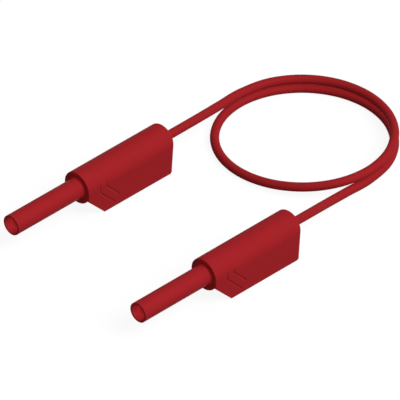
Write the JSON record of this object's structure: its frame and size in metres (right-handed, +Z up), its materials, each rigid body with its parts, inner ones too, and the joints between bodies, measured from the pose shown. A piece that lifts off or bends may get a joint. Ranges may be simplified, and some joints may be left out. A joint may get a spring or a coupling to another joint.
{
  "type": "safety test lead",
  "caption": "Flexible red test lead with a shrouded, stackable 4 mm safety plug on each end, lying on its plugs' flat undersides with the cable in a loose loop behind them.",
  "frame": {"origin": "on the table, midway between the two plugs: the bottom centre of the box round the plugs without the cable", "axes": "+Z up from the flat undersides, -Y the way both contact pins point, +X from plug a to plug b"},
  "size_m": [0.0857, 0.1643, 0.0183],
  "materials": {
    "red_moulding": "fine satin moulded polyamide, dyed right through",
    "red_jacket": "smooth, slightly dull flexible cable jacket",
    "nickel_plate": "turned brass, bright nickel plate",
    "spring_bronze": "thin spring bronze, lightly polished",
    "white_insulation": "white inner insulation of the cable",
    "copper": "bare copper strands"
  },
  "bodies": {
    "root": {"housing_a": "red_moulding", "shroud_a": "red_moulding", "contact_pin_a": "nickel_plate", "pin_nose_a": "nickel_plate", "contact_spring_a": "spring_bronze", "contact_link_a": "nickel_plate", "socket_contact_a": "nickel_plate", "socket_sleeve_a": "red_moulding", "core_a": "white_insulation", "conductor_a": "copper", "housing_b": "red_moulding", "shroud_b": "red_moulding", "contact_pin_b": "nickel_plate", "pin_nose_b": "nickel_plate", "contact_spring_b": "spring_bronze", "contact_link_b": "nickel_plate", "socket_contact_b": "nickel_plate", "socket_sleeve_b": "red_moulding", "core_b": "white_insulation", "conductor_b": "copper", "cable": "red_jacket"}
  },
  "joints": []
}
